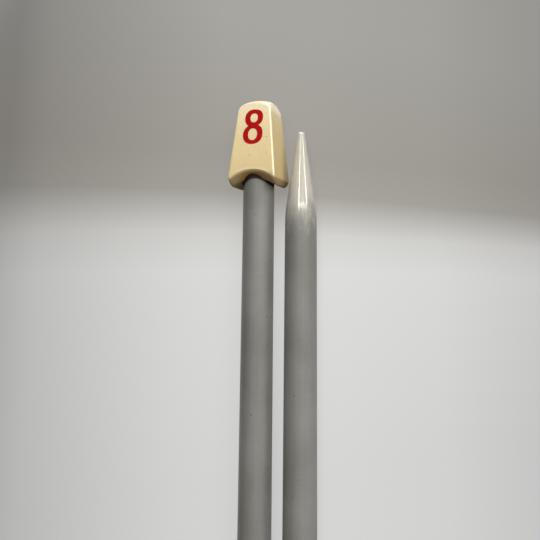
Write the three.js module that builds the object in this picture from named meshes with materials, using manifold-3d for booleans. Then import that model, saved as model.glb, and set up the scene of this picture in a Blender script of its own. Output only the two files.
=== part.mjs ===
// A pair of single-pointed knitting needles, metric size 8, lying side by side with the head of
// one beside the point of the other. Each needle is a coated aluminium tube, swaged to a solid
// point at one end, with a moulded plastic head pushed onto its open end.
// Millimetres, +Z up. The needles lie along X on the plane Z = 0.
import * as THREE from 'three';
import { mergeVertices } from 'three/addons/utils/BufferGeometryUtils.js';
import Module from 'manifold-3d';

// Driving dimensions of the tube
const needleLength = 350;         // from the crown of the head to the point
const shaftDiameter = 8;
const tubeWall = 1;
const buttChamfer = 0.4;          // broken edge of the open end
const pointLength = 23.25;        // from the blunt end to the full diameter
const pointBlendLength = 5;       // the last stretch, where the cone rounds into the shaft
const pointEndDiameter = 1.75;    // the blunt end
const pointEndRounding = 0.35;
const solidPointLength = 12;      // the swaged end that has no cavity

// Driving dimensions of the head
const headHeight = 22.7;          // from the lowest edge of its base to its crown
const seatDepth = 9;              // how far the shaft stands inside the head
const fitClearance = 0.3;         // round the shaft and past its end
const boreConeRise = 1.2;         // the blind end of the bore is a shallow cone
const faceWall = 0.6;             // beside the end of the bore, on the two broad faces
const sideWall = 1.4;             // the same, on the two narrow sides
const faceDraft = 4.6;            // degrees
const sideDraft = 5.75;           // degrees
const edgeRadius = 0.5;           // the four long edges, and the edges over the broad faces
const crownHeight = 2.7;          // the vaulted top, above the flat walls
const crownFaceFall = 0.2;        // the share of that height by which the vault falls to the faces
const crownMiddlePower = 4.2;     // its squareness half way between the faces: 2 is an ellipse
const crownFacePower = 1.6;       // and over the faces
const bevelHeight = 2.2;          // the bevel round the base
const bevelFace = 2;              // how far the base draws in at the broad faces
const bevelFacePower = 1.35;      // how round the bevel is there: 1 is straight
const bevelSide = 0.6;            // and at the narrow sides
const bevelSidePower = 3;
const archRise = 1.9;             // the base is hollowed between its two legs
const archFade = 7;               // how far up the mesh follows the arch

// Driving dimensions of the pair
const pairGap = 0.58;             // between the side of a head and a full shaft beside it
const headOverhang = 8.5;         // how far each head stands out past the other needle's point

// Steps of the curved faces
const shaftSteps = 48;
const blendSteps = 5;
const cornerSteps = 4;
const faceSteps = 10;
const sideSteps = 6;
const bevelSteps = 6;
const wallSteps = 4;
const capSteps = 3;
const crownSteps = 24;            // from one narrow side to the other
const mergeTolerance = 1e-4;      // points closer than this are one point

// Sizes that follow from the driving dimensions
const shaftRadius = shaftDiameter / 2;
const cavityRadius = shaftRadius - tubeWall;
const boreRadius = shaftRadius + fitClearance;
const boreDepth = seatDepth + fitClearance;
const tubeLength = needleLength - headHeight + seatDepth;
const faceSlope = Math.tan(THREE.MathUtils.degToRad(faceDraft));
const sideSlope = Math.tan(THREE.MathUtils.degToRad(sideDraft));

// The flat walls start at the bevel and end where the crown springs.
const wallStart = bevelHeight;
const wallEnd = headHeight - crownHeight;
const halfWidthAt = (height) => boreRadius + sideWall + (boreDepth - height) * sideSlope;
const halfThicknessAt = (height) => boreRadius + faceWall + (boreDepth - height) * faceSlope;
const headHalfWidth = halfWidthAt(wallStart);
const headHalfThickness = halfThicknessAt(wallStart);

const wasm = await Module();
wasm.setup();

// Turns a closed geometry into a solid that can be cut.
function toSolid(geometry) {
  const bare = geometry.clone();
  bare.deleteAttribute('normal');
  bare.deleteAttribute('uv');
  const merged = mergeVertices(bare, mergeTolerance);
  return new wasm.Manifold(new wasm.Mesh({
    numProp: 3,
    vertProperties: new Float32Array(merged.attributes.position.array),
    triVerts: new Uint32Array(merged.index.array),
  }));
}

function toGeometry(solid) {
  const { vertProperties, triVerts } = solid.getMesh();
  const geometry = new THREE.BufferGeometry();
  geometry.setAttribute('position', new THREE.BufferAttribute(new Float32Array(vertProperties), 3));
  geometry.setIndex(new THREE.BufferAttribute(new Uint32Array(triVerts), 1));
  geometry.computeVertexNormals();
  return geometry;
}

// A solid turned about X from points of (place along X, radius), starting and ending on the axis.
function turnedAlongX(points) {
  const profile = points.map(([along, radius]) => new THREE.Vector2(radius, along));
  return new THREE.LatheGeometry(profile, shaftSteps).rotateZ(-Math.PI / 2);
}

// The tube, with its point at X = 0 and its open end at X = tubeLength. The cone of the point
// meets the shaft in a parabola that is tangent to both.
function tubeGeometry() {
  const endRadius = pointEndDiameter / 2;
  const coneEnd = pointLength - pointBlendLength;
  const coneSlope = (shaftRadius - endRadius) / (pointLength - pointBlendLength / 2);
  const blendRadius = (place) =>
    shaftRadius - (coneSlope * (pointLength - place) ** 2) / (2 * pointBlendLength);

  const points = [[0, 0], [0, endRadius - pointEndRounding]];
  points.push([pointEndRounding * (1 - Math.SQRT1_2), endRadius - pointEndRounding * (1 - Math.SQRT1_2)]);
  points.push([pointEndRounding, endRadius + coneSlope * pointEndRounding]);
  for (let step = 0; step <= blendSteps; step += 1) {
    const place = coneEnd + (pointBlendLength * step) / blendSteps;
    points.push([place, blendRadius(place)]);
  }
  points.push([tubeLength - buttChamfer, shaftRadius]);
  points.push([tubeLength, shaftRadius - buttChamfer]);
  points.push([tubeLength, cavityRadius]);
  points.push([pointLength, cavityRadius]);
  points.push([solidPointLength, 0]);
  return turnedAlongX(points);
}

// How far the arch lifts the base at a place across the head: a circular arc that ends at the legs.
const legHalfSpacing = headHalfWidth - bevelSide;
const archRadius = (legHalfSpacing ** 2 + archRise ** 2) / (2 * archRise);
function archLift(across) {
  const reach = Math.min(Math.abs(across), legHalfSpacing);
  return Math.sqrt(archRadius ** 2 - reach ** 2) - (archRadius - archRise);
}

// The points of a rounded rectangle, with a fixed count so that rings of any size can be joined.
function roundedRectangle(halfWidth, halfThickness, radius) {
  const points = [];
  const corners = [[1, 1, 0], [-1, 1, 1], [-1, -1, 2], [1, -1, 3]];
  corners.forEach(([signY, signZ, quarter], index) => {
    const centre = [signY * (halfWidth - radius), signZ * (halfThickness - radius)];
    for (let step = 0; step <= cornerSteps; step += 1) {
      const angle = (quarter + step / cornerSteps) * (Math.PI / 2);
      points.push([centre[0] + radius * Math.cos(angle), centre[1] + radius * Math.sin(angle)]);
    }
    const from = points[points.length - 1];
    const [nextY, nextZ, nextQuarter] = corners[(index + 1) % corners.length];
    const nextAngle = nextQuarter * (Math.PI / 2);
    const to = [
      nextY * (halfWidth - radius) + radius * Math.cos(nextAngle),
      nextZ * (halfThickness - radius) + radius * Math.sin(nextAngle),
    ];
    const steps = index % 2 === 0 ? faceSteps : sideSteps;
    for (let step = 1; step < steps; step += 1) {
      const share = step / steps;
      points.push([from[0] + (to[0] - from[0]) * share, from[1] + (to[1] - from[1]) * share]);
    }
  });
  return points;
}

// How far a bevel of a given width and power is drawn in, at a share of its height to go.
function bevelInset(width, power, share) {
  return width * (1 - (1 - share ** power) ** (1 / power));
}

// The head's rings from the middle of its base to the end of its walls. Each has a height, how
// far it is drawn in from the drafted walls, and the share of its size that is left.
function headRings() {
  const rings = [];
  for (let step = 1; step <= capSteps; step += 1) {
    rings.push({ height: 0, faceInset: bevelFace, sideInset: bevelSide, share: step / (capSteps + 1) });
  }
  for (let step = 0; step <= bevelSteps; step += 1) {
    const toGo = Math.cos(((step / bevelSteps) * Math.PI) / 2);
    rings.push({
      height: bevelHeight * (1 - toGo),
      faceInset: bevelInset(bevelFace, bevelFacePower, toGo),
      sideInset: bevelInset(bevelSide, bevelSidePower, toGo),
      share: 1,
    });
  }
  for (let step = 1; step <= wallSteps; step += 1) {
    const height = wallStart + ((wallEnd - wallStart) * step) / wallSteps;
    rings.push({ height, faceInset: 0, sideInset: 0, share: 1 });
  }
  return rings;
}

// One ring as points along X. Near the base the points climb the arch and stay on the flat walls.
function ringPoints({ height, faceInset, sideInset, share }) {
  const flatHeight = Math.max(height, wallStart);
  const halfWidth = (halfWidthAt(flatHeight) - sideInset) * share;
  const halfThickness = (halfThicknessAt(flatHeight) - faceInset) * share;
  const fade = THREE.MathUtils.clamp((wallStart + archFade - height) / archFade, 0, 1);
  return roundedRectangle(halfWidth, halfThickness, edgeRadius * share).map(([across, up]) => {
    const climb = archLift(across) * fade;
    const drawIn = Math.sign(up) * Math.min(1, Math.abs(up) / halfThickness) * climb * faceSlope;
    return [height + climb, across, up - drawIn];
  });
}

// The crown is a vault of arches from one narrow side to the other, in layers from the printed
// face to the other one. Each layer has its inset where the edges are rounded, its share of the
// thickness between those edges, and what the rounding adds to that.
function crownLayers() {
  const layers = [];
  for (let step = 0; step <= cornerSteps; step += 1) {
    const angle = ((step / cornerSteps) * Math.PI) / 2;
    const inset = edgeRadius * (1 - Math.sin(angle));
    layers.push({ inset, share: 1, extra: edgeRadius * Math.cos(angle) });
  }
  const mirrored = layers.map(({ inset, share, extra }) => ({ inset, share: -share, extra: -extra }));
  for (let step = 1; step < sideSteps; step += 1) {
    layers.push({ inset: 0, share: 1 - (2 * step) / sideSteps, extra: 0 });
  }
  return [...layers, ...mirrored.reverse()];
}

// The points of one arch. Half way between the faces it is high and square, over them lower and
// rounder.
function archPoints({ inset, share, extra }) {
  const out = (height) => share * (halfThicknessAt(height) - edgeRadius) + extra;
  const nearFace = (out(wallEnd) / halfThicknessAt(wallEnd)) ** 2;
  const power = crownMiddlePower + (crownFacePower - crownMiddlePower) * nearFace;
  const rise = crownHeight * (1 - crownFaceFall * nearFace) - inset;
  const points = [];
  for (let step = 1; step < crownSteps; step += 1) {
    const angle = (Math.PI * step) / crownSteps;
    const height = wallEnd + rise * Math.sin(angle) ** (2 / power);
    const reach = Math.sign(Math.cos(angle)) * Math.abs(Math.cos(angle)) ** (2 / power);
    points.push([height, reach * (halfWidthAt(height) - inset), out(height)]);
  }
  return points;
}

// Closes the head over its last ring with the arches, and fills the two flat ends under them.
function addCrown(positions, faces, ringStart) {
  const corner = cornerSteps + 1;
  const face = faceSteps - 1;
  const side = 2 * corner + sideSteps - 1;
  const part = (start, length) => Array.from({ length }, (_, place) => ringStart + start + place);
  const front = part(corner, face).reverse();
  const left = part(corner + face, side);
  const back = part(corner + face + side, face);
  const right = [...part(corner + 2 * face + side, side - corner), ...part(0, corner)].reverse();

  const arches = crownLayers().map((layer, place) => {
    const start = positions.length / 3;
    const points = archPoints(layer);
    positions.push(...points.flat());
    return [right[place], ...points.map((_, step) => start + step), left[place]];
  });
  for (let place = 0; place < arches.length - 1; place += 1) {
    const [near, far] = [arches[place], arches[place + 1]];
    for (let step = 0; step < crownSteps; step += 1) {
      faces.push(near[step], near[step + 1], far[step + 1]);
      faces.push(near[step], far[step + 1], far[step]);
    }
  }
  const middleHeight = wallEnd + (crownHeight * (1 - crownFaceFall)) / 2;
  const ends = [[arches[0], front, 1], [arches[arches.length - 1], back, -1]];
  ends.forEach(([arch, row, sign]) => {
    const middle = positions.length / 3;
    positions.push(middleHeight, 0, sign * halfThicknessAt(middleHeight));
    const rim = [...arch, ...row];
    rim.forEach((here, place) => {
      const next = rim[(place + 1) % rim.length];
      faces.push(middle, ...(sign > 0 ? [next, here] : [here, next]));
    });
  });
}

// The moulded head, with the lowest edge of its base at X = 0, its crown at X = headHeight and
// its broad faces up and down. The shaft's bore is cut from below.
function headGeometry() {
  const rings = headRings().map(ringPoints);
  const count = rings[0].length;
  const positions = rings.flat(2);
  positions.push(archLift(0), 0, 0);
  const baseMiddle = rings.length * count;
  const faces = [];
  for (let point = 0; point < count; point += 1) {
    const next = (point + 1) % count;
    faces.push(baseMiddle, next, point);
    for (let ring = 0; ring < rings.length - 1; ring += 1) {
      const low = ring * count;
      const high = low + count;
      faces.push(low + point, low + next, high + next);
      faces.push(low + point, high + next, high + point);
    }
  }
  addCrown(positions, faces, (rings.length - 1) * count);
  const body = new THREE.BufferGeometry();
  body.setAttribute('position', new THREE.Float32BufferAttribute(positions, 3));
  body.setIndex(faces);
  const bore = turnedAlongX([
    [-headHeight, 0], [-headHeight, boreRadius], [boreDepth, boreRadius], [boreDepth + boreConeRise, 0],
  ]);
  return toGeometry(toSolid(body).subtract(toSolid(bore)));
}

const coatedAluminium = { color: 0x8f8d87, roughness: 0.45, metalness: 0.35 };
const ivoryPlastic = { color: 0xe3cfa0, roughness: 0.35, metalness: 0 };

// A needle lies on the edge of its head's base and on the shaft where the point begins, so its
// axis climbs a little towards the head.
const crownPlace = (needleLength + headOverhang) / 2;
const headPlace = crownPlace - headHeight;
const tubePlace = headPlace + seatDepth - tubeLength;
const headContact = headPlace + wallStart;
const shaftContact = tubePlace + pointLength;
const restTilt = Math.atan2(headHalfThickness - shaftRadius, headContact - shaftContact);
const axisHeight = headHalfThickness * Math.cos(restTilt) - headContact * Math.sin(restTilt);

function needle(name) {
  const tube = new THREE.Mesh(tubeGeometry(), new THREE.MeshStandardMaterial(coatedAluminium));
  tube.name = `${name}_shaft`;
  tube.position.x = tubePlace;
  const head = new THREE.Mesh(headGeometry(), new THREE.MeshStandardMaterial(ivoryPlastic));
  head.name = `${name}_head`;
  head.position.x = headPlace;
  const lying = new THREE.Group();
  lying.add(tube, head);
  lying.rotation.y = -restTilt;
  lying.position.z = axisHeight;
  return lying;
}

// The second needle is the first one turned half round, so each head lies beside a point.
const group = new THREE.Group();
const needleSpacing = headHalfWidth + pairGap + shaftRadius;
['needle_a', 'needle_b'].forEach((name, index) => {
  const place = new THREE.Group();
  const lying = needle(name);
  lying.position.y = needleSpacing / 2;
  place.rotation.z = Math.PI * index;
  place.add(lying);
  group.add(place);
});

export default group;
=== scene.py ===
"""Looks of a pair of size 8 knitting needles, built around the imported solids.

Lengths are written in millimetres and turned into metres as each mesh is made. A needle is built
in its own frame, with X from the point to the head, Y across it and Z out of the printed face of
its head, and then laid down as its solids lie.

In the finishes a scale counts a pattern's features per metre, and an edge is a pair of values
between which a mask turns from 0 to 1.
"""

import logging
import math
from collections.abc import Callable, Iterable
from dataclasses import dataclass, field
from enum import Enum

import bmesh
import bpy
from mathutils import Euler, Matrix, Vector


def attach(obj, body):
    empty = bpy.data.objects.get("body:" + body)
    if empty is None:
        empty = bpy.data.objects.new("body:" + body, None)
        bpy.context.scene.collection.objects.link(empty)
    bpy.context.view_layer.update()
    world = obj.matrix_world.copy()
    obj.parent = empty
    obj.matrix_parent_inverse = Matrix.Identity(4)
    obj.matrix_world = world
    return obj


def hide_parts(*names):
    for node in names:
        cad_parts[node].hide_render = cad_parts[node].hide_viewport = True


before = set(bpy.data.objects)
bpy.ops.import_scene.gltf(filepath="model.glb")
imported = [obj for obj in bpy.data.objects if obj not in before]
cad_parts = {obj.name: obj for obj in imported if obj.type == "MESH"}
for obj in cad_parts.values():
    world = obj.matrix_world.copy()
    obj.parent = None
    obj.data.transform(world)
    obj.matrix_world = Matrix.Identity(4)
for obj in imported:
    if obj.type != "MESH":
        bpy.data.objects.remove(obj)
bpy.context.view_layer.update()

MM = 0.001
PHOTO_PIXELS = 540

log = logging.getLogger("needles")


# Node trees


class Signal:
    """One socket of a node tree, on which Python's operators add Math nodes."""

    def __init__(self, graph: "Graph", socket: bpy.types.NodeSocket) -> None:
        """Wraps a socket.

        Args:
            graph: The tree that the socket is in.
            socket: An output socket.
        """
        self.graph = graph
        self.socket = socket

    def __add__(self, other: "Value") -> "Signal":
        """This value plus another."""
        return self.graph.maths("ADD", self, other)

    def __radd__(self, other: "Value") -> "Signal":
        """Another value plus this one."""
        return self.graph.maths("ADD", other, self)

    def __sub__(self, other: "Value") -> "Signal":
        """This value less another."""
        return self.graph.maths("SUBTRACT", self, other)

    def __rsub__(self, other: "Value") -> "Signal":
        """Another value less this one."""
        return self.graph.maths("SUBTRACT", other, self)

    def __mul__(self, other: "Value") -> "Signal":
        """This value times another."""
        return self.graph.maths("MULTIPLY", self, other)

    def __rmul__(self, other: "Value") -> "Signal":
        """Another value times this one."""
        return self.graph.maths("MULTIPLY", other, self)

    def __truediv__(self, other: "Value") -> "Signal":
        """This value over another."""
        return self.graph.maths("DIVIDE", self, other)

    def __pow__(self, other: "Value") -> "Signal":
        """This value to a power."""
        return self.graph.maths("POWER", self, other)

    def output(self, name: str) -> "Signal":
        """Another output of the same node."""
        return Signal(self.graph, self.socket.node.outputs[name])


Value = Signal | float | int | str | tuple | Vector | Euler | bpy.types.ID


class Graph:
    """A shader or geometry tree that is written as expressions."""

    def __init__(self, tree: bpy.types.NodeTree) -> None:
        """Starts with the tree as it is."""
        self.tree = tree

    def add(
        self,
        kind: str,
        settings: dict[str, object] | None = None,
        output: int | str = 0,
        **inputs: Value,
    ) -> Signal:
        """Adds any node.

        Args:
            kind: The node's type name.
            settings: Its settings. "stops" holds a colour ramp's stops, as (place, colour).
            output: The output to return.
            **inputs: Values or links of its sockets. A name's underscores stand for spaces, and
                i followed by a number names a socket by its place.

        Returns:
            The chosen output.
        """
        node = self.tree.nodes.new(kind)
        for name, setting in (settings or {}).items():
            if name == "stops":
                self._set_stops(node.color_ramp, setting)
            else:
                setattr(node, name, setting)
        for name, value in inputs.items():
            self.connect(self._socket(node, name), value)
        return Signal(self, node.outputs[output]) if len(node.outputs) else Signal(self, None)

    def connect(self, socket: bpy.types.NodeSocket, value: Value) -> None:
        """Links a signal to an input socket, or sets the socket's value."""
        if isinstance(value, Signal):
            self.tree.links.new(value.socket, socket)
        elif hasattr(socket, "default_value"):
            is_colour = socket.type == "RGBA" and len(value) == 3
            socket.default_value = (*value, 1.0) if is_colour else value

    def maths(self, operation: str, *values: Value, clamp: bool = False) -> Signal:
        """Adds a Math node.

        Args:
            operation: The node's operation.
            *values: Up to three values.
            clamp: Whether the result is held between 0 and 1.

        Returns:
            The node's result.
        """
        inputs = {f"i{place}": value for place, value in enumerate(values)}
        return self.add("ShaderNodeMath", {"operation": operation, "use_clamp": clamp}, **inputs)

    def smooth(self, value: Value, low: Value, high: Value) -> Signal:
        """How far a value has gone from low to high, from 0 to 1 with soft ends."""
        return self.add(
            "ShaderNodeMapRange",
            {"interpolation_type": "SMOOTHSTEP"},
            Value=value,
            From_Min=low,
            From_Max=high,
        )

    def mix(self, share: Value, first: Value, second: Value, blend: str = "MIX") -> Signal:
        """Mixes two colours by a share of the second one."""
        node = self.tree.nodes.new("ShaderNodeMix")
        node.data_type = "RGBA"
        node.blend_type = blend
        sockets = {socket.identifier: socket for socket in node.inputs}
        self.connect(sockets["Factor_Float"], share)
        self.connect(sockets["A_Color"], first)
        self.connect(sockets["B_Color"], second)
        found = next(socket for socket in node.outputs if socket.identifier == "Result_Color")
        return Signal(self, found)

    def noise(self, place: Signal, scale: float, detail: float = 2, rough: float = 0.5) -> Signal:
        """Smooth noise of about 0 to 1, with scale in features per metre."""
        return self.add(
            "ShaderNodeTexNoise", Vector=place, Scale=scale, Detail=detail, Roughness=rough
        )

    def cells(self, place: Signal, scale: float, choice: tuple) -> tuple[Signal, Signal]:
        """Scattered cells.

        Args:
            place: Where the pattern is read.
            scale: Cells per metre.
            choice: The edge, as (low, high), past which a cell's random value chooses it.

        Returns:
            The distance from a cell's middle, and whether the cell is chosen, from 0 to 1.
        """
        cells = self.add("ShaderNodeTexVoronoi", Vector=place, Scale=scale, Randomness=1.0)
        return cells, self.smooth(cells.output("Color"), *choice)

    def _socket(self, node: bpy.types.Node, name: str) -> bpy.types.NodeSocket:
        """Finds an input socket by its name or its place."""
        if name[0] == "i" and name[1:].isdigit():
            return node.inputs[int(name[1:])]
        return node.inputs[name.replace("_", " ")]

    def _set_stops(self, ramp: bpy.types.ColorRamp, stops: Iterable[tuple]) -> None:
        """Gives a colour ramp its stops."""
        while len(ramp.elements) > 1:
            ramp.elements.remove(ramp.elements[0])
        for index, (place, colour) in enumerate(stops):
            element = ramp.elements[0] if index == 0 else ramp.elements.new(place)
            element.position = place
            element.color = (*colour, 1.0)


def linear(red: int, green: int, blue: int) -> tuple[float, float, float]:
    """Turns a display colour from 0 to 255 into the linear values that shaders take."""
    limit, offset, scale = 0.04045, 0.055, 12.92
    shares = (value / 255 for value in (red, green, blue))
    values = (
        ((share + offset) / (1 + offset)) ** 2.4 if share > limit else share / scale
        for share in shares
    )
    return tuple(values)


# How the needles lie


@dataclass(frozen=True)
class Needle:
    """One needle of the pair and how it lies: the second is the first turned half round."""

    name: str
    half_turn: bool
    point_place: float = -170.75
    head_place: float = 156.55
    axis_height: float = 4.70855
    rest_tilt: float = 0.27525
    half_spacing: float = 5.49747

    @property
    def lie(self) -> tuple[Vector, Euler]:
        """The place, in metres, and the turn that carry the needle's frame into the row's."""
        side = -1 if self.half_turn else 1
        place = Vector((0, side * self.half_spacing, self.axis_height)) * MM
        turn = Euler((0, -math.radians(self.rest_tilt), math.pi if self.half_turn else 0))
        return place, turn

    def lay(self, mesh: bpy.types.Mesh) -> None:
        """Carries a mesh, in metres, from the needle's frame to where the needle lies."""
        place, turn = self.lie
        mesh.transform(Matrix.LocRotScale(place, turn, None))
        mesh.update()


class Part(Enum):
    """The pieces of a needle, each with the name of a record's slot for its finish, which nothing
    here reads.
    """

    SHAFT = ("shaft", "shaft_coating")
    HEAD = ("head", "head_plastic")
    NUMBER = ("number", None)

    def piece_name(self, needle: Needle) -> str:
        """The name of this piece on a needle."""
        return f"{needle.name}_{self.value[0]}_finished"


def set_piece(mesh: bpy.types.Mesh, needle: Needle, part: Part, replaced: str | None) -> None:
    """Makes a piece of a mesh in the needle's frame, lays it down and lets it ride on its body.

    Args:
        mesh: The mesh, in metres.
        needle: The needle that it belongs to.
        part: Which piece it is.
        replaced: The solid that it stands for, if any.
    """
    needle.lay(mesh)
    piece = bpy.data.objects.new(part.piece_name(needle), mesh)
    bpy.context.scene.collection.objects.link(piece)
    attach(piece, needle.name)
    if replaced:
        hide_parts(replaced)
    log.info("%s: %d faces", piece.name, len(mesh.polygons))


# Finishes


class Finish:
    """A material that is built from nodes, in the frame of the needle that wears it."""

    def __init__(self, name: str, needle: Needle) -> None:
        """Makes an empty material with a Principled shader.

        Args:
            name: The material's name.
            needle: The needle in whose frame its patterns lie.
        """
        self.material = bpy.data.materials.new(f"{name}_{needle.name}")
        self.material.use_nodes = True
        tree = self.material.node_tree
        self.shader = next(node for node in tree.nodes if node.type == "BSDF_PRINCIPLED")
        self.graph = Graph(tree)
        place, turn = needle.lie
        rest = self.graph.add("ShaderNodeTexCoord", output="Object")
        self.place = self.graph.add(
            "ShaderNodeMapping",
            {"vector_type": "TEXTURE"},
            Vector=rest,
            Location=place,
            Rotation=turn,
        )
        split = self.graph.add("ShaderNodeSeparateXYZ", i0=self.place)
        self.along, self.across, self.up = split, split.output("Y"), split.output("Z")

    def set(self, **inputs: Value) -> None:
        """Sets or links sockets of the shader by name, with underscores for spaces."""
        for name, value in inputs.items():
            self.graph.connect(self.shader.inputs[name.replace("_", " ")], value)

    def stretched(self, along: float) -> Signal:
        """The place, with its share along the needle made larger or smaller."""
        return self.graph.add(
            "ShaderNodeMapping", {"vector_type": "POINT"}, Vector=self.place, Scale=(along, 1, 1)
        )

    def bump(self, height: Signal, distance: float, strength: float = 1) -> Signal:
        """A normal that is bent by a height from 0 to 1, with the distance in millimetres."""
        return self.graph.add(
            "ShaderNodeBump", Strength=strength, Distance=distance * MM, Height=height
        )


@dataclass(frozen=True)
class CoatedAluminium:
    """Satin grey coating on aluminium, rubbed brighter and glossier on the point.

    The rub, the gloss and the tip end at places from the point, and the grime with its painted
    shadow at one in the head.
    """

    coat: tuple = linear(142, 140, 134)
    coat_dark: tuple = linear(124, 121, 114)
    bare: tuple = linear(196, 190, 176)
    tip: tuple = linear(222, 219, 210)
    speck: tuple = linear(104, 84, 62)
    # Dark brown of grime and of the head's painted shadow on the shaft.
    grime_and_shadow: tuple = linear(32, 18, 3)
    satin: float = 0.42
    polished: float = 0.07
    metallic: float = 0.2
    specular: float = 0.35
    bare_metallic: float = 0.1
    rub_end: float = 27
    rub_length: float = 12
    gloss_start: float = 19
    gloss_end: float = 31
    draw_stretch: float = 0.03
    draw_scale: float = 1500
    grain_scale: float = 6500
    grain_depth: float = 0.012
    cloud_scale: float = 90
    tone_edge: tuple = (0.38, 0.62)
    speck_scale: float = 360
    speck_choice: tuple = (0.56, 0.6)
    speck_edge: tuple = (0.05, 0.11)
    speck_strength: float = 0.7
    rag_stretch: float = 0.4
    rag_scale: float = 650
    rag_length: float = 12
    cloud_length: float = 6
    tip_edge: tuple = (0.1, 0.9)
    grime_and_shadow_edge: tuple = (1.45, 2.1)
    grime_and_shadow_bend: float = 0.14
    grime_and_shadow_aside: float = 0.4

    def material(self, needle: Needle) -> bpy.types.Material:
        """Builds the finish for one needle."""
        finish = Finish("coated_aluminium", needle)
        g = finish.graph
        from_point = finish.along - needle.point_place * MM

        # The draw of the tube shows as faint streaks, and the satin coat as fine grain.
        streaks = g.noise(finish.stretched(self.draw_stretch), self.draw_scale, 3)
        grain = g.noise(finish.place, self.grain_scale, 2, 0.7)
        cloud = g.noise(finish.place, self.cloud_scale, 3)
        tone = g.maths("ADD", streaks * 0.12 + grain * 0.5, cloud * 0.38, clamp=True)
        coat = g.mix(g.smooth(tone, *self.tone_edge), self.coat_dark, self.coat)

        # Small brown specks lie here and there in the coat.
        cells, chosen = g.cells(finish.place, self.speck_scale, self.speck_choice)
        dots = (1 - g.smooth(cells, *self.speck_edge)) * chosen * self.speck_strength
        coat = g.mix(dots, coat, self.speck)

        # Stitches have rubbed the point, along a ragged edge.
        ragged = g.noise(finish.stretched(self.rag_stretch), self.rag_scale, 4, 0.7)
        wander = (cloud - 0.5) * (self.cloud_length * MM) + (ragged - 0.5) * (self.rag_length * MM)
        rub_start = self.rub_end - self.rub_length
        rubbed = 1 - g.smooth(from_point + wander, rub_start * MM, self.rub_end * MM)
        coat = g.mix(rubbed, coat, self.bare)
        tip_start, tip_end = (place * MM for place in self.tip_edge)
        coat = g.mix(1 - g.smooth(from_point, tip_start, tip_end), coat, self.tip)
        glossy = 1 - g.smooth(from_point + wander * 0.8, self.gloss_start * MM, self.gloss_end * MM)

        # Where the shaft enters the head it is darkened, least far out at its sides: partly grime,
        # partly the head's shadow painted on.
        into_head = (finish.along - needle.head_place * MM) / MM
        aside = finish.across / MM + self.grime_and_shadow_aside
        grimy_and_shaded = g.smooth(into_head + aside**2.0 * self.grime_and_shadow_bend, *self.grime_and_shadow_edge)
        roughness = self.satin + glossy * (self.polished - self.satin) + (grain - 0.5) * 0.06
        finish.set(
            Base_Color=g.mix(grimy_and_shaded, coat, self.grime_and_shadow),
            Metallic=(self.metallic + rubbed * (self.bare_metallic - self.metallic)) * (1 - grimy_and_shaded),
            Roughness=g.maths("MAXIMUM", grimy_and_shaded * 0.8, roughness),
            Normal=finish.bump(grain * (1 - 0.7 * rubbed), self.grain_depth),
            Specular_IOR_Level=self.specular,
        )
        return finish.material


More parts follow.
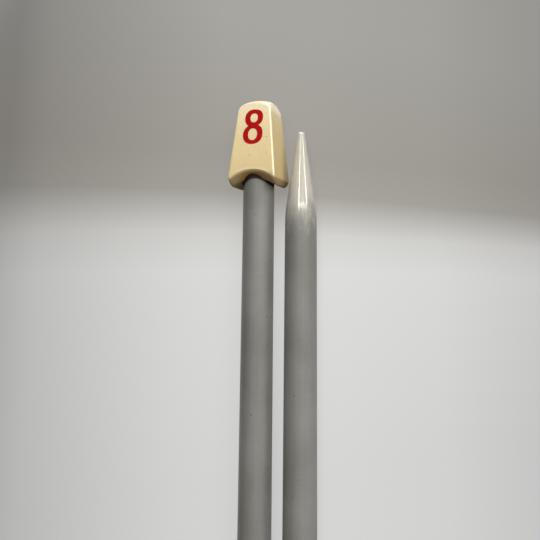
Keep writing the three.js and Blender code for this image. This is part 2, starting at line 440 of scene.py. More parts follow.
@dataclass(frozen=True)
class IvoryPlastic:
    """Aged ivory moulding, mottled. Painted light makes it lighter high up, and painted shade
    darker low down and on its narrow sides. Its edges are pale with wear and a painted highlight,
    and its base is darkened by soil and painted shade.

    The head's mesh says where its edges, narrow sides and base are.
    """

    # Painted light and shade: lighter high up, darker low down.
    top: tuple = linear(250, 229, 188)
    middle: tuple = linear(234, 211, 158)
    low: tuple = linear(223, 199, 145)
    fleck: tuple = linear(218, 190, 132)
    pore: tuple = linear(150, 118, 70)
    # Pale edges: partly wear, partly a painted highlight.
    edge: tuple = linear(254, 246, 214)
    # Painted shade on the narrow sides, with a yellower tone.
    side: tuple = (0.88, 0.86, 0.76)
    # Soil and painted shade for the base and the bore.
    leg_soil_and_shade: tuple = linear(150, 127, 86)
    soil_and_shade: tuple = linear(134, 102, 36)
    shade: tuple = linear(60, 40, 14)
    gloss: float = 0.34
    coat: float = 0.25
    coat_roughness: float = 0.22
    mottle_scale: float = 420
    mottle_shift: float = 5
    grain_scale: float = 4200
    grain_edge: tuple = (0.54, 0.7)
    grain_depth: float = 0.02
    speckle_scale: float = 2300
    speckle_edge: tuple = (0.5, 0.68)
    pore_scale: float = 620
    pore_choice: tuple = (0.5, 0.54)
    pore_edge: tuple = (0.06, 0.13)
    pore_strength: float = 0.45
    shaded_low_edge: tuple = (2.0, 12.0)
    lit_top_edge: tuple = (12.0, 22.0)
    soil_and_shade_edge: tuple = (4.4, 6.4)
    bore_edge: tuple = (4.32, 4.5)
    bore_end: tuple = (10.5, 11.0)

    def material(self, needle: Needle) -> bpy.types.Material:
        """Builds the finish for one needle."""
        finish = Finish("ivory_plastic", needle)
        g = finish.graph
        height = (finish.along - needle.head_place * MM) / MM
        mottle = g.noise(finish.place, self.mottle_scale, 4, 0.6)
        grain = g.noise(finish.place, self.grain_scale, 2, 0.6)
        shift = (mottle - 0.5) * self.mottle_shift
        # Painted light and shade: the body is lighter towards the crown, where the light falls, and
        # darker towards the base.
        body = g.mix(g.smooth(height + shift, *self.shaded_low_edge), self.low, self.middle)
        body = g.mix(g.smooth(height + shift, *self.lit_top_edge), body, self.top)
        speckle = g.noise(finish.place, self.speckle_scale, 3, 0.65)
        fleck = g.smooth(grain, *self.grain_edge) * 0.45
        fleck = fleck + g.smooth(speckle, *self.speckle_edge) * 0.5
        body = g.mix(g.maths("MINIMUM", fleck, 1.0), body, self.fleck)
        cells, chosen = g.cells(finish.place, self.pore_scale, self.pore_choice)
        pores = (1 - g.smooth(cells, *self.pore_edge)) * chosen
        body = g.mix(pores * self.pore_strength, body, self.pore)
        # The narrow sides are darker and yellower: partly a yellower tone, partly painted shade.
        body = g.mix(self._mark(g, "side"), body, self.side, "MULTIPLY")
        # The edges and the crown's shoulders are paler: partly wear, partly a painted highlight.
        body = g.mix(self._mark(g, "edge") * 0.85, body, self.edge)

        # The base is darkened, most of all next to the bore, and the bore darker still: partly
        # soil, partly painted shade under the head and in the bore.
        base = self._mark(g, "base")
        radius = g.maths("SQRT", finish.across**2.0 + finish.up**2.0) / MM
        near = 1 - g.smooth(radius + shift * 0.1, *self.soil_and_shade_edge)
        body = g.mix(base, body, g.mix(near, self.leg_soil_and_shade, self.soil_and_shade))
        bore_dirt_and_shade = (1 - g.smooth(radius, *self.bore_edge)) * (1 - g.smooth(height, *self.bore_end))
        body = g.mix(bore_dirt_and_shade, body, self.shade)
        finish.set(
            Base_Color=body,
            Roughness=self.gloss + (mottle - 0.5) * 0.14 + base * 0.35,
            Normal=finish.bump(grain * 0.5 + mottle * 0.5, self.grain_depth),
            Coat_Weight=(1 - base) * self.coat,
            Coat_Roughness=self.coat_roughness,
        )
        return finish.material

    def _mark(self, g: Graph, name: str) -> Signal:
        """One of the marks, from 0 to 1, that the head's mesh carries."""
        return g.add("ShaderNodeAttribute", {"attribute_name": name}, "Fac")


@dataclass(frozen=True)
class RedPrint:
    """The red ink of the number, a little uneven in its strength."""

    full: tuple = linear(182, 14, 18)
    thin: tuple = linear(164, 9, 9)
    gloss: float = 0.45
    specular: float = 0.08
    patch_scale: float = 1500
    patch_edge: tuple = (0.38, 0.62)
    patch_depth: float = 0.01

    def material(self, needle: Needle) -> bpy.types.Material:
        """Builds the finish for one needle."""
        finish = Finish("red_print", needle)
        g = finish.graph
        patches = g.noise(finish.place, self.patch_scale, 3, 0.6)
        finish.set(
            Base_Color=g.mix(g.smooth(patches, *self.patch_edge), self.thin, self.full),
            Roughness=self.gloss + (patches - 0.5) * 0.15,
            Normal=finish.bump(patches, self.patch_depth),
            Specular_IOR_Level=self.specular,
        )
        return finish.material


# The shaft


@dataclass(frozen=True)
class Stretch:
    """One stretch of a turned profile: its rows, and its place and radius along it."""

    rows: int
    place: Callable[[Signal], Value]
    radius: Callable[[Signal], Value]


@dataclass
class Shaft:
    """The tube of a needle, turned from one profile by a tree of Geometry Nodes."""

    finish: CoatedAluminium = field(default_factory=CoatedAluminium)
    length: float = 336.3
    radius: float = 4
    wall: float = 1
    chamfer: float = 0.4
    point_length: float = 23.25
    blend_length: float = 5
    end_radius: float = 0.875
    end_rounding: float = 0.35
    solid_length: float = 12
    segments: int = 128
    sharp_angle: float = 30

    @property
    def sizes(self) -> dict[str, float]:
        """The lengths that the tree takes as inputs, in millimetres."""
        return {
            "Length": self.length,
            "Radius": self.radius,
            "Wall": self.wall,
            "Chamfer": self.chamfer,
            "Point Length": self.point_length,
            "Blend Length": self.blend_length,
            "End Radius": self.end_radius,
            "End Rounding": self.end_rounding,
            "Solid Length": self.solid_length,
        }

    def build(self, needle: Needle) -> None:
        """Builds the finished shaft of one needle."""
        tree = self._tree(needle.name)
        carrier = bpy.data.objects.new(f"{needle.name}_turning", bpy.data.meshes.new("blank"))
        bpy.context.scene.collection.objects.link(carrier)
        modifier = carrier.modifiers.new("turning", "NODES")
        modifier.node_group = tree
        for socket in tree.interface.items_tree:
            if socket.name in self.sizes:
                modifier[socket.identifier] = self.sizes[socket.name] * MM
            elif socket.name == "Segments":
                modifier[socket.identifier] = self.segments
            elif socket.name == "Finish":
                modifier[socket.identifier] = self.finish.material(needle)
        depsgraph = bpy.context.evaluated_depsgraph_get()
        mesh = bpy.data.meshes.new_from_object(carrier.evaluated_get(depsgraph))
        mesh.name = f"{needle.name}_shaft"
        bpy.data.objects.remove(carrier)
        mesh.transform(Matrix.Translation((needle.point_place * MM, 0, 0)))
        mesh.set_sharp_from_angle(angle=math.radians(self.sharp_angle))
        set_piece(mesh, needle, Part.SHAFT, f"{needle.name}_shaft")

    def _tree(self, name: str) -> bpy.types.NodeTree:
        """Builds the tree that turns the profile.

        Args:
            name: The needle's name.

        Returns:
            The tree, with a named input for each size.
        """
        tree = bpy.data.node_groups.new(f"{name}_turned_tube", "GeometryNodeTree")
        for size in self.sizes:
            tree.interface.new_socket(name=size, in_out="INPUT", socket_type="NodeSocketFloat")
        tree.interface.new_socket(name="Segments", in_out="INPUT", socket_type="NodeSocketInt")
        tree.interface.new_socket(name="Finish", in_out="INPUT", socket_type="NodeSocketMaterial")
        tree.interface.new_socket(
            name="Geometry", in_out="OUTPUT", socket_type="NodeSocketGeometry"
        )
        g = Graph(tree)
        given = g.add("NodeGroupInput")
        joined = tree.nodes.new("GeometryNodeJoinGeometry")
        for stretch in self._profile(g, given):
            tree.links.new(self._turned(g, given, stretch).socket, joined.inputs[0])
        closed = g.add(
            "GeometryNodeMergeByDistance", Geometry=Signal(g, joined.outputs[0]), Distance=1e-6
        )
        smooth = g.add("GeometryNodeSetShadeSmooth", Geometry=closed, Shade_Smooth=True)
        real = g.add("GeometryNodeRealizeInstances", Geometry=smooth)
        dressed = g.add(
            "GeometryNodeSetMaterial", Geometry=real, Material=given.output("Finish")
        )
        result = tree.nodes.new("NodeGroupOutput")
        tree.links.new(dressed.socket, result.inputs[0])
        return tree

    def _profile(self, g: Graph, given: Signal) -> list[Stretch]:
        """The stretches from the middle of the blunt end round to the end of the cavity."""
        length, radius = given.output("Length"), given.output("Radius")
        point, blend = given.output("Point Length"), given.output("Blend Length")
        end, rounding = given.output("End Radius"), given.output("End Rounding")
        chamfer, solid = given.output("Chamfer"), given.output("Solid Length")
        cavity = radius - given.output("Wall")
        slope = (radius - end) / (point - blend / 2)
        cone_end = point - blend
        quarter = math.pi / 2

        def cone(place: Value) -> Signal:
            """The radius of the straight cone at a place."""
            return end + slope * place

        def rounded_place(share: Signal) -> Signal:
            """The place along the rounding of the blunt end."""
            return rounding * (1 - g.maths("COSINE", share * quarter))

        def rounded_radius(share: Signal) -> Signal:
            """The radius along the rounding, which meets the cone."""
            rise = rounding + slope * rounding
            return end - rounding + rise * g.maths("SINE", share * quarter)

        def blend_radius(share: Signal) -> Signal:
            """The radius where the cone meets the tube, a parabola tangent to both."""
            return radius - slope * blend * (1 - share) ** 2.0 / 2

        return [
            Stretch(4, lambda share: 0.0, lambda share: share * (end - rounding)),
            Stretch(10, rounded_place, rounded_radius),
            Stretch(
                40,
                lambda share: rounding + share * (cone_end - rounding),
                lambda share: cone(rounding + share * (cone_end - rounding)),
            ),
            Stretch(16, lambda share: cone_end + share * blend, blend_radius),
            Stretch(
                60, lambda share: point + share * (length - chamfer - point), lambda share: radius
            ),
            Stretch(
                3,
                lambda share: length - chamfer * (1 - share),
                lambda share: radius - chamfer * share,
            ),
            Stretch(
                3,
                lambda share: length,
                lambda share: radius - chamfer + share * (cavity - radius + chamfer),
            ),
            Stretch(20, lambda share: length + share * (point - length), lambda share: cavity),
            Stretch(
                8, lambda share: point + share * (solid - point), lambda share: cavity * (1 - share)
            ),
        ]

    def _turned(self, g: Graph, given: Signal, stretch: Stretch) -> Signal:
        """Turns one stretch of the profile round the needle's axis."""
        grid = g.add(
            "GeometryNodeMeshGrid",
            Size_X=1.0,
            Size_Y=1.0,
            Vertices_X=stretch.rows + 1,
            Vertices_Y=given.output("Segments") + 1,
        )
        spot = g.add("ShaderNodeSeparateXYZ", i0=g.add("GeometryNodeInputPosition"))
        share = spot + 0.5
        angle = (spot.output("Y") + 0.5) * (-2 * math.pi)
        radius = stretch.radius(share)
        place = g.add(
            "ShaderNodeCombineXYZ",
            X=stretch.place(share),
            Y=g.maths("MULTIPLY", radius, g.maths("COSINE", angle)),
            Z=g.maths("MULTIPLY", radius, g.maths("SINE", angle)),
        )
        return g.add("GeometryNodeSetPosition", Geometry=grid, Position=place)


# The head


def _drawn_in(to_go: float, power: float) -> float:
    """The share of its width that a bevel is drawn in, at a share of its height to go.

    Args:
        to_go: The share of the bevel's height between here and the flat wall.
        power: How round the bevel is: 1 is straight.

    Returns:
        The share, from nothing at the wall to 1 at the base.
    """
    return 1 - (1 - to_go**power) ** (1 / power)


def _held(value: float) -> float:
    """A value held between 0 and 1."""
    return min(1, max(0, value))


def _swelled(wave: float, power: float) -> float:
    """A coordinate of a superellipse: a sine or cosine swelled by a power, with its sign kept."""
    return math.copysign(abs(wave) ** (2 / power), wave)


@dataclass(frozen=True)
class Layer:
    """One layer of the vault: its inset, its share of the flat thickness, and what is added."""

    inset: float
    share: float
    extra: float

    def out(self, head: "Head", height: float) -> float:
        """How far the layer stands out from the head's middle plane at a height."""
        return self.share * (head.half_thickness(height) - head.edge_radius) + self.extra


@dataclass
class Head:
    """The moulded head: a drafted slab with a vaulted crown, an arched base and a blind bore.

    A power says how round a curve is. The last five sizes place the marks for the finish.
    """

    finish: IvoryPlastic = field(default_factory=IvoryPlastic)
    height: float = 22.7
    bore_radius: float = 4.3
    bore_depth: float = 9.3
    bore_cone_rise: float = 1.2
    face_wall: float = 0.6
    side_wall: float = 1.4
    face_draft: float = 4.6
    side_draft: float = 5.75
    edge_radius: float = 0.5
    base_radius: float = 1.4
    crown_height: float = 2.7
    crown_face_fall: float = 0.2
    crown_middle_power: float = 4.2
    crown_face_power: float = 1.6
    bevel_height: float = 2.2
    bevel_face: float = 2.0
    bevel_face_power: float = 1.0
    bevel_leg_power: float = 1.6
    bevel_side: float = 0.6
    bevel_side_power: float = 3
    arch_rise: float = 1.9
    arch_fade: float = 7
    corner_steps: int = 8
    face_steps: int = 36
    side_steps: int = 20
    bevel_steps: int = 14
    wall_steps: int = 16
    cap_steps: int = 8
    vault_steps: int = 48
    bore_segments: int = 128
    rim_share: float = 0.05
    sharp_angle: float = 32
    touch: float = 0.01
    base_blend: float = 0.7
    turn_rise: float = 1.4
    wear_and_highlight_gain: float = 2.4
    wear_and_highlight_start: float = 0.5

    @property
    def wall_end(self) -> float:
        """The height at which the vault of the crown springs."""
        return self.height - self.crown_height

    def half_width(self, height: float) -> float:
        """Half the width of the drafted slab at a height, in millimetres."""
        rise = (self.bore_depth - height) * math.tan(math.radians(self.side_draft))
        return self.bore_radius + self.side_wall + rise

    def half_thickness(self, height: float) -> float:
        """Half its thickness at a height, in millimetres."""
        rise = (self.bore_depth - height) * math.tan(math.radians(self.face_draft))
        return self.bore_radius + self.face_wall + rise

    def build(self, needle: Needle) -> None:
        """Builds the finished head of one needle."""
        body = self._object(self._slab())
        bore = self._object(self._bore())
        cut = body.modifiers.new("bore", "BOOLEAN")
        cut.operation, cut.solver, cut.object = "DIFFERENCE", "EXACT", bore
        depsgraph = bpy.context.evaluated_depsgraph_get()
        mesh = bpy.data.meshes.new_from_object(body.evaluated_get(depsgraph))
        mesh.name = f"{needle.name}_head"
        bpy.data.objects.remove(body)
        bpy.data.objects.remove(bore)
        mesh.materials.clear()
        mesh.materials.append(self.finish.material(needle))
        mesh.shade_smooth()
        mesh.set_sharp_from_angle(angle=math.radians(self.sharp_angle))
        self._mark(mesh)
        mesh.transform(Matrix.Translation((needle.head_place * MM, 0, 0)))
        set_piece(mesh, needle, Part.HEAD, f"{needle.name}_head")

    def _mark(self, mesh: bpy.types.Mesh) -> None:
        """Marks the edges, the narrow sides and the base, with the bore, for the finish.

        Args:
            mesh: The head's mesh, in metres, with its base at the origin.
        """
        edge, side, base = [], [], []
        bore_end = self.bore_depth + self.bore_cone_rise + self.touch
        for vertex in mesh.vertices:
            height, across, up = vertex.co / MM
            outwards = abs(vertex.normal.z)
            sideways = math.hypot(vertex.normal.x, vertex.normal.y)
            bore = math.hypot(across, up) < self.bore_radius + self.touch and height < bore_end
            below = self.bevel_height + self._arch_lift(across) - height
            low = bore or below > self.touch
            base.append(1.0 if bore else _held(below / self.base_blend))
            # Edges are pale with wear and a painted highlight, and the crown's shoulders carry a
            # painted highlight.
            turning = _held((height - self.wall_end + 1) / self.turn_rise)
            wear_and_highlight = self.wear_and_highlight_gain * min(outwards, sideways) - self.wear_and_highlight_start
            edge.append(0.0 if low else _held(max(wear_and_highlight, turning * sideways)))
            # The painted shade of the narrow sides fades out into the crown.
            side.append(0.0 if low else _held(2 * sideways - 1) * (1 - turning))
        for name, values in (("edge", edge), ("side", side), ("base", base)):
            mesh.attributes.new(name, "FLOAT", "POINT").data.foreach_set("value", values)

    def _object(self, shape: bmesh.types.BMesh) -> bpy.types.Object:
        """Puts a shape, in millimetres, into the scene in metres, facing outwards."""
        bmesh.ops.recalc_face_normals(shape, faces=shape.faces)
        shape.transform(Matrix.Scale(MM, 4))
        mesh = bpy.data.meshes.new("shape")
        shape.to_mesh(mesh)
        shape.free()
        made = bpy.data.objects.new("shape", mesh)
        bpy.context.scene.collection.objects.link(made)
        return made

    def _slab(self) -> bmesh.types.BMesh:
        """The head without its bore: rings from the base to the crown, and the vault over them."""
        shape = bmesh.new()
        rings = [[shape.verts.new(point) for point in ring] for ring in self._rings()]
        base = shape.verts.new((self._arch_lift(0), 0, 0))
        count = len(rings[0])
        for here in range(count):
            after = (here + 1) % count
            shape.faces.new((base, rings[0][after], rings[0][here]))
            for low, high in zip(rings, rings[1:]):
                shape.faces.new((low[here], low[after], high[after], high[here]))
        self._vault(shape, rings[-1])
        return shape

    def _vault(self, shape: bmesh.types.BMesh, ring: list[bmesh.types.BMVert]) -> None:
        """Closes the slab over its last ring with arches, and fills their two flat ends.

        Args:
            shape: The shape that the ring is in.
            ring: The last ring, in the order that _rounded_rectangle gives.
        """
        corner, face, side = self.corner_steps + 1, self.face_steps - 1, self.side_steps - 1
        left_start = corner + face
        left = ring[left_start : left_start + 2 * corner + side]
        right_start = left_start + 2 * corner + side + face
        right = (ring[right_start:] + ring[:corner])[::-1]
        front_row = ring[corner:left_start]
        back_row = ring[left_start + len(left) : right_start][::-1]

        arches = []
        for start, end, layer in zip(right, left, self._layers()):
            middle = [shape.verts.new(point) for point in self._arch(layer)]
            arches.append([start, *middle, end])
        for near, far in zip(arches, arches[1:]):
            for step in range(self.vault_steps):
                shape.faces.new((near[step], near[step + 1], far[step + 1], far[step]))
        for arch, row, way in ((arches[0], front_row, 1), (arches[-1], back_row, -1)):
            height = self.wall_end + self.crown_height * (1 - self.crown_face_fall) / 2
            middle = Vector((height, 0, way * self.half_thickness(height)))
            rim = [*arch, *row[::-1]]
            inner = [shape.verts.new(vertex.co.lerp(middle, self.rim_share)) for vertex in rim]
            hub = shape.verts.new(middle)
            for here, vertex in enumerate(rim):
                after = (here + 1) % len(rim)
                shape.faces.new((inner[here], vertex, rim[after], inner[after]))
                shape.faces.new((hub, inner[here], inner[after]))

    def _arch(self, layer: "Layer") -> list[tuple]:
        """The points of one arch of the vault between its two ends.

        Half way between the broad faces an arch is high and square, over them lower and rounder.
        """
        reach = (layer.out(self, self.wall_end) / self.half_thickness(self.wall_end)) ** 2
        power = self.crown_middle_power + (self.crown_face_power - self.crown_middle_power) * reach
        rise = self.crown_height * (1 - self.crown_face_fall * reach) - layer.inset
        points = []
        for step in range(1, self.vault_steps):
            angle = math.pi * step / self.vault_steps
            height = self.wall_end + rise * _swelled(math.sin(angle), power)
            across = (self.half_width(height) - layer.inset) * _swelled(math.cos(angle), power)
            points.append((height, across, layer.out(self, height)))
        return points

    def _layers(self) -> list["Layer"]:
        """The layers of arches from the printed face to the other one."""
        edge = []
        for step in range(self.corner_steps + 1):
            angle = step / self.corner_steps * math.pi / 2
            inset = self.edge_radius * (1 - math.sin(angle))
            edge.append(Layer(inset, 1, self.edge_radius * math.cos(angle)))
        middle = [Layer(0, 1 - 2 * step / self.side_steps, 0) for step in range(1, self.side_steps)]
        mirrored = [Layer(layer.inset, -layer.share, -layer.extra) for layer in reversed(edge)]
        return [*edge, *middle, *mirrored]

    def _bore(self) -> bmesh.types.BMesh:
        """The tool that cuts the bore: a cylinder with a shallow cone at its end."""
        shape = bmesh.new()
        rings = []
        for place in (-self.height, self.bore_depth):
            ring = []
            for step in range(self.bore_segments):
                angle = 2 * math.pi * step / self.bore_segments
                across, up = self.bore_radius * math.cos(angle), self.bore_radius * math.sin(angle)
                ring.append(shape.verts.new((place, across, up)))
            rings.append(ring)
        start = shape.verts.new((-self.height, 0, 0))
        end = shape.verts.new((self.bore_depth + self.bore_cone_rise, 0, 0))
        for here in range(self.bore_segments):
            after = (here + 1) % self.bore_segments
            shape.faces.new((start, rings[0][after], rings[0][here]))
            shape.faces.new((rings[0][here], rings[0][after], rings[1][after], rings[1][here]))
            shape.faces.new((end, rings[1][here], rings[1][after]))
        return shape

    def _rings(self) -> list[list[tuple]]:
        """The rings from the middle of the base, over its bevel and the walls, to the crown."""
        made = []
        for step in range(1, self.cap_steps + 1):
            share = step / (self.cap_steps + 1)
            ring = self._ring(0, self.bevel_face, self.bevel_side, share, radius=self.base_radius)
            made.append(ring)
        for step in range(self.bevel_steps + 1):
            to_go = math.cos(step / self.bevel_steps * math.pi / 2)
            leg_inset = self.bevel_face * _drawn_in(to_go, self.bevel_leg_power)
            more = self.bevel_face * _drawn_in(to_go, self.bevel_face_power) - leg_inset
            side_inset = self.bevel_side * _drawn_in(to_go, self.bevel_side_power)
            height = self.bevel_height * (1 - to_go)
            radius = self.edge_radius + (self.base_radius - self.edge_radius) * to_go
            made.append(self._ring(height, leg_inset, side_inset, 1, more, radius))
        for step in range(1, self.wall_steps + 1):
            share = step / self.wall_steps
            made.append(self._ring(self.bevel_height + (self.wall_end - self.bevel_height) * share))
        return made

    def _ring(
        self,
        height: float,
        face_inset: float = 0,
        side_inset: float = 0,
        share: float = 1,
        middle_inset: float = 0,
        radius: float = 0,
    ) -> list[tuple]:
        """One ring, whose points climb the arch of the base and stay on the drafted walls.

        Args:
            height: Its height over the lowest edge of the base.
            face_inset: How far it is drawn in from the two broad faces.
            side_inset: The same, from the two narrow sides.
            share: The share of its size that is left.
            middle_inset: How much further it is drawn in from the faces between the legs.
            radius: The radius of its corners, if not that of the walls' edges.

        Returns:
            Its points in millimetres.
        """
        flat = max(height, self.bevel_height)
        half_width = (self.half_width(flat) - side_inset) * share
        half_thickness = (self.half_thickness(flat) - face_inset) * share
        fade = _held((self.bevel_height + self.arch_fade - height) / self.arch_fade)
        slope = math.tan(math.radians(self.face_draft))
        points = []
        radius = (radius or self.edge_radius) * share
        for across, up in self._rounded_rectangle(half_width, half_thickness, radius):
            climb = self._arch_lift(across) * fade
            draw_in = climb * slope + middle_inset * max(0, 1 - (across / half_width) ** 2)
            draw_in = math.copysign(min(1, abs(up) / half_thickness) * draw_in, up)
            points.append((height + climb, across, up - draw_in))
        return points

    def _arch_lift(self, across: float) -> float:
        """How far the arch lifts the base: a circular arc that ends at the two legs."""
        half_span = self.half_width(self.bevel_height) - self.bevel_side
        arc_radius = (half_span**2 + self.arch_rise**2) / (2 * self.arch_rise)
        reach = min(abs(across), half_span)
        return math.sqrt(arc_radius**2 - reach**2) - (arc_radius - self.arch_rise)

    def _rounded_rectangle(
        self, half_width: float, half_thickness: float, radius: float
    ) -> list[tuple[float, float]]:
        """The points of a rounded rectangle, always in the same number."""
        points = []
        signs = ((1, 1), (-1, 1), (-1, -1), (1, -1))
        for quarter, (side, face) in enumerate(signs):
            centre = Vector((side * (half_width - radius), face * (half_thickness - radius)))
            for step in range(self.corner_steps + 1):
                angle = (quarter + step / self.corner_steps) * math.pi / 2
                points.append(centre + radius * Vector((math.cos(angle), math.sin(angle))))
            side, face = signs[(quarter + 1) % 4]
            angle = (quarter + 1) * math.pi / 2
            start = points[-1]
            end = Vector((side * (half_width - radius), face * (half_thickness - radius)))
            end += radius * Vector((math.cos(angle), math.sin(angle)))
            steps = self.face_steps if quarter % 2 == 0 else self.side_steps
            points.extend(start.lerp(end, step / steps) for step in range(1, steps))
        return [tuple(point) for point in points]


# The number


@dataclass(frozen=True)
class Bowl:
    """One round of the number: a superellipse, in millimetres on the printed face."""

    across: float
    height: float
    half_width: float
    half_height: float
    power: float = 2.3

    def half_width_at(self, height: float) -> float:
        """Half its width at a height, or nothing above and below it."""
        reach = abs(height - self.height) / self.half_height
        return self.half_width * max(0, 1 - reach**self.power) ** (1 / self.power)

    def outline(self, points: int) -> list[tuple[float, float]]:
        """Its outline as (across, height)."""
        made = []
        for step in range(points):
            angle = 2 * math.pi * step / points
            across = self.across + self.half_width * _swelled(math.cos(angle), self.power)
            height = self.height + self.half_height * _swelled(math.sin(angle), self.power)
            made.append((across, height))
        return made


@dataclass
class Number:
    """The size number 8, printed on the head: two bowls, each with its counter."""

    head: Head
    finish: RedPrint = field(default_factory=RedPrint)
    upper: Bowl = Bowl(0.23, 17.6, 2.5, 2.3)
    lower: Bowl = Bowl(0.02, 13.2, 2.72, 2.6)
    upper_counter: Bowl = Bowl(0.24, 17.57, 1.02, 1.18, 2.2)
    lower_counter: Bowl = Bowl(0.0, 13.2, 1.25, 1.55, 2.2)
    proud: float = 0.02
    sunk: float = 0.05
    rows: int = 48
    counter_points: int = 56
    waist_softness: float = 0.35

    def build(self, needle: Needle) -> None:
        """Builds the number on the printed face of one needle's head."""
        curve = bpy.data.curves.new("number", "CURVE")
        curve.dimensions, curve.fill_mode = "2D", "BOTH"
        curve.extrude = (self.proud + self.sunk) / 2
        holes = (self.upper_counter, self.lower_counter)
        outlines = [self._outside(), *(hole.outline(self.counter_points) for hole in holes)]
        for outline in outlines:
            spline = curve.splines.new("POLY")
            spline.points.add(len(outline) - 1)
            for point, (across, height) in zip(spline.points, outline):
                point.co = (height, -across, 0, 1)
            spline.use_cyclic_u = True
        carrier = bpy.data.objects.new("number", curve)
        bpy.context.scene.collection.objects.link(carrier)
        depsgraph = bpy.context.evaluated_depsgraph_get()
        mesh = bpy.data.meshes.new_from_object(carrier.evaluated_get(depsgraph))
        mesh.name = f"{needle.name}_number"
        bpy.data.objects.remove(carrier)
        self._seat(mesh, needle)
        mesh.materials.clear()
        mesh.materials.append(self.finish.material(needle))
        set_piece(mesh, needle, Part.NUMBER, None)

    def _outside(self) -> list[tuple[float, float]]:
        """The outline round both bowls, up one side and down the other."""
        bottom = self.lower.height - self.lower.half_height
        top = self.upper.height + self.upper.half_height
        middle, reach = (bottom + top) / 2, (top - bottom) / 2
        between = self.upper.height - self.lower.height
        right, left = [], []
        for step in range(1, self.rows):
            height = middle - reach * math.cos(math.pi * step / self.rows)
            share = _held((height - self.lower.height) / between)
            centre = self.lower.across + (self.upper.across - self.lower.across) * share
            halves = (self.lower.half_width_at(height), self.upper.half_width_at(height))
            half = self._soft_largest(*halves)
            right.append((centre + half, height))
            left.append((centre - half, height))
        return [(self.lower.across, bottom), *right, (self.upper.across, top), *reversed(left)]

    def _soft_largest(self, first: float, second: float) -> float:
        """The larger of two, rounded where they are alike, as the waist of the number is."""
        gap = max(0, self.waist_softness - abs(first - second))
        return max(first, second) + gap**2 / (4 * self.waist_softness)

    def _seat(self, mesh: bpy.types.Mesh, needle: Needle) -> None:
        """Closes the flat shape and lays it, in metres, on the drafted printed face."""
        shape = bmesh.new()
        shape.from_mesh(mesh)
        bmesh.ops.remove_doubles(shape, verts=shape.verts, dist=1e-4)
        bmesh.ops.recalc_face_normals(shape, faces=shape.faces)
        draft = math.radians(self.head.face_draft)
        middle = (self.proud - self.sunk) / 2
        for vertex in shape.verts:
            height, across, out = vertex.co
            out += middle
            vertex.co = Vector(
                (
                    needle.head_place + height + out * math.sin(draft),
                    across,
                    self.head.half_thickness(height) + out * math.cos(draft),
                )
            )
        shape.transform(Matrix.Scale(MM, 4))
        shape.to_mesh(mesh)
        shape.free()


# The studio


@dataclass(frozen=True)
class PhotoCamera:
    """The camera at the photograph's place. Its frame is the lower part of a taller picture."""

    place: tuple = (0.13358, -0.05088, 0.13726)
    right: tuple = (0.01145, -0.92776, -0.37301)
    up: tuple = (0.98498, -0.05382, 0.16408)
    focal_pixels: float = 560
    axis_row: float = 180
    sensor: float = 36

    def build(self) -> None:
        """Makes the camera and gives it to the scene."""
        data = bpy.data.cameras.new("photo_camera")
        data.sensor_width = self.sensor
        data.lens = self.sensor * self.focal_pixels / PHOTO_PIXELS
        data.shift_y = (self.axis_row - PHOTO_PIXELS / 2) / PHOTO_PIXELS
        data.clip_start, data.clip_end = 0.005, 20
        camera = bpy.data.objects.new("photo_camera", data)
        right = Vector(self.right).normalized()
        back = right.cross(Vector(self.up)).normalized()
        turn = Matrix((right, back.cross(right), back)).transposed()
        camera.matrix_world = Matrix.Translation(self.place) @ turn.to_4x4()
        bpy.context.scene.collection.objects.link(camera)
        bpy.context.scene.camera = camera


@dataclass(frozen=True)
class Lamp:
    """An area lamp that looks at the heads.

    Its place is a lean towards the head of the first needle and a turn round the needles from
    straight above towards the second one, both in degrees, and a distance in metres.
    """

    name: str
    lean: float
    turn: float
    distance: float
    across: float
    along: float
    radiance: float
    colour: tuple = (1.0, 1.0, 1.0)
    aim: tuple = (0.158, -0.003, 0.004)

    def build(self) -> None:
        """Makes the lamp, with its second side in the plane of the needles' direction."""
        data = bpy.data.lights.new(self.name, "AREA")
        data.shape, data.size, data.size_y = "RECTANGLE", self.across, self.along
        data.energy = math.pi * self.across * self.along * self.radiance
        data.color = self.colour
        lamp = bpy.data.objects.new(self.name, data)
        lean, turn = math.radians(self.lean), math.radians(self.turn)
        flat = math.cos(lean)
        back = Vector((math.sin(lean), -flat * math.sin(turn), flat * math.cos(turn)))
        across = Vector((1, 0, 0)).cross(back).normalized()
        axes = Matrix((across, back.cross(across), back)).transposed()
        place = Vector(self.aim) + back * self.distance
        lamp.matrix_world = Matrix.Translation(place) @ axes.to_4x4()
        lamp.visible_camera = False
        bpy.context.scene.collection.objects.link(lamp)


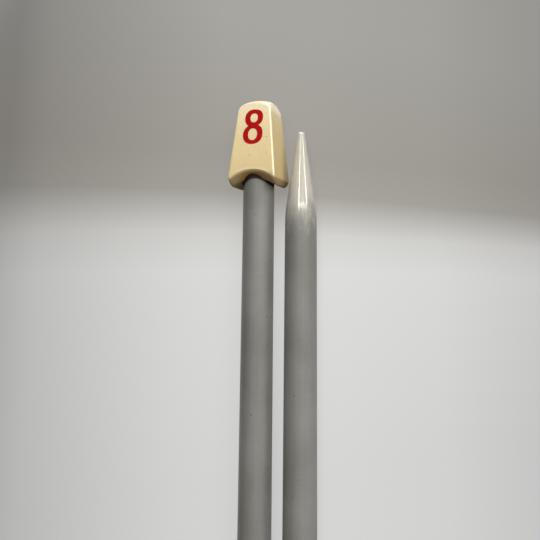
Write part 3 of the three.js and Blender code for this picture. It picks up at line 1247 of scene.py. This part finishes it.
@dataclass
class Studio:
    """The plain floor, the soft light and the world.

    The floor's tones change with the place ahead: they are darker past a line that is bent between
    two sides, which is a painted shadow, and they grow dimmer towards both sides away from a
    painted pool of light. Beyond the patch round the heads the floor is plain.
    """

    floor_half: float = 2.5
    floor_drop: float = 0.0003
    floor_glow: float = 0.75
    floor_bounce: float = 0.22
    floor_plain: tuple = linear(194, 193, 190)
    # Painted shadow: the tones darken past the bent line.
    tones: tuple = (
        (0.0, linear(206, 206, 205)),
        (0.42, linear(212, 212, 210)),
        (0.5, linear(203, 202, 199)),
        (0.59, linear(160, 157, 150)),
        (0.68, linear(155, 151, 145)),
        (1.0, linear(160, 158, 153)),
    )
    tones_middle: float = 0.545
    tones_length: float = 150
    tones_narrow: float = 0.78
    tones_widen: float = 0.004
    line_place: float = 154.7
    line_bend: float = 0.000372
    line_sides: tuple = (-62.0, 110.0)
    breadth: float = 100.0
    # A painted pool of light, brightest across the middle.
    painted_light_pool: tuple = (
        (0, 0.8),
        (0.2, 0.92),
        (0.31, 1.07),
        (0.45, 1.13),
        (0.6, 1.13),
        (0.755, 0.98),
        (0.92, 0.81),
        (1, 0.66),
    )
    patch_middle: tuple = (142.0, 20.0)
    patch_edge: tuple = (110.0, 200.0)
    world_low: float = 0.08
    world_high: float = 0.8
    world_edge: tuple = (-0.6, 0.8)
    world_side: tuple = (0.5, -0.8, 0.3)
    world_colour: tuple = (0.98, 0.99, 1.0)
    lamps: tuple = (
        Lamp("soft_panel", 30, 46, 0.9, 0.6, 1.0, 0.5, (1.0, 0.99, 0.95)),
        Lamp("crown_panel", 72, 50, 1.6, 1.07, 0.4, 4.2),
        Lamp("near_strip", 31, 2, 0.6, 0.08, 0.26, 9.5),
        Lamp("side_strip", 31, 66, 0.6, 0.08, 0.26, 9.5),
        Lamp("foot_strip", 21, 30, 0.6, 0.6, 0.05, 7),
    )

    def build(self) -> None:
        """Builds the whole studio."""
        self._floor()
        self._world()
        for lamp in self.lamps:
            lamp.build()

    def _world(self) -> None:
        """Soft light from all round, stronger from the side that the lamps are on."""
        world = bpy.data.worlds.new("studio")
        bpy.context.scene.world = world
        world.use_nodes = True
        shader = next(node for node in world.node_tree.nodes if node.type == "BACKGROUND")
        g = Graph(world.node_tree)
        way = g.add("ShaderNodeTexCoord", output="Generated")
        product = {"operation": "DOT_PRODUCT"}
        side = g.add("ShaderNodeVectorMath", product, "Value", i0=way, i1=self.world_side)
        more = self.world_high - self.world_low
        strength = self.world_low + g.smooth(side, *self.world_edge) * more
        ray = g.add("ShaderNodeLightPath", output="Is Camera Ray")
        g.connect(shader.inputs["Strength"], g.maths("MAXIMUM", ray, strength * (1 - ray)))
        g.connect(shader.inputs["Color"], g.mix(ray, self.world_colour, self.floor_plain))

    def _floor(self) -> None:
        """A plain pale floor, which the camera and glossy surfaces see in its own tones."""
        half = self.floor_half
        mesh = bpy.data.meshes.new("floor")
        corners = ((-half, -half), (half, -half), (half, half), (-half, half))
        mesh.from_pydata([(x, y, -self.floor_drop) for x, y in corners], [], [(0, 1, 2, 3)])
        floor = bpy.data.objects.new("floor", mesh)
        bpy.context.scene.collection.objects.link(floor)
        material = bpy.data.materials.new("floor")
        material.use_nodes = True
        mesh.materials.append(material)
        material.node_tree.nodes.clear()
        g = Graph(material.node_tree)
        shown = self._floor_tones(g)
        ray = g.add("ShaderNodeLightPath", output="Is Camera Ray")
        seen = g.maths("MAXIMUM", ray, ray.output("Is Glossy Ray"))
        lit = g.add("ShaderNodeBsdfDiffuse", Color=g.mix(seen, (self.floor_bounce,) * 3, shown))
        glow = g.add("ShaderNodeEmission", Color=shown, Strength=1.0)
        both = g.add("ShaderNodeMixShader", Fac=seen * self.floor_glow, i1=lit, i2=glow)
        g.add("ShaderNodeOutputMaterial", Surface=both)

    def _floor_tones(self, g: Graph) -> Signal:
        """The floor's tones: a painted shadow past a bent line ahead of the heads, a painted pool
        of light across them, and plain far from them.

        Args:
            g: The floor's shader tree.

        Returns:
            The colour at each place.
        """
        spot = g.add("ShaderNodeSeparateXYZ", i0=g.add("ShaderNodeTexCoord", output="Object"))
        ahead, side = spot / MM, spot.output("Y") / MM
        near, far = self.line_sides
        held = g.maths("MAXIMUM", g.maths("MINIMUM", side, far), near)
        line = self.line_place - (held - far) ** 2.0 * self.line_bend
        length = (self.tones_narrow + held * self.tones_widen) * self.tones_length
        share = (ahead - line) / length + self.tones_middle
        tone = g.add("ShaderNodeValToRGB", {"stops": self.tones}, Fac=share)
        across = g.add(
            "ShaderNodeMapRange", Value=side, From_Min=-self.breadth, From_Max=self.breadth
        )
        greys = [(place, (grey,) * 3) for place, grey in self.painted_light_pool]
        painted_light_pool = g.add("ShaderNodeValToRGB", {"stops": greys}, Fac=across)
        tone = g.mix(1.0, tone, painted_light_pool, "MULTIPLY")
        ahead_middle, side_middle = self.patch_middle
        away = g.maths("SQRT", (ahead - ahead_middle) ** 2.0 + (side - side_middle) ** 2.0)
        return g.mix(g.smooth(away, *self.patch_edge), tone, self.floor_plain)


def main() -> None:
    """Builds the studio and both needles."""
    logging.basicConfig(level=logging.INFO, format="%(name)s: %(message)s")
    PhotoCamera().build()
    Studio().build()
    bpy.context.scene.view_settings.view_transform = "Standard"
    shaft, head = Shaft(), Head()
    number = Number(head)
    for needle in (Needle("needle_a", False), Needle("needle_b", True)):
        shaft.build(needle)
        head.build(needle)
        number.build(needle)


if __name__ == "__main__":
    main()
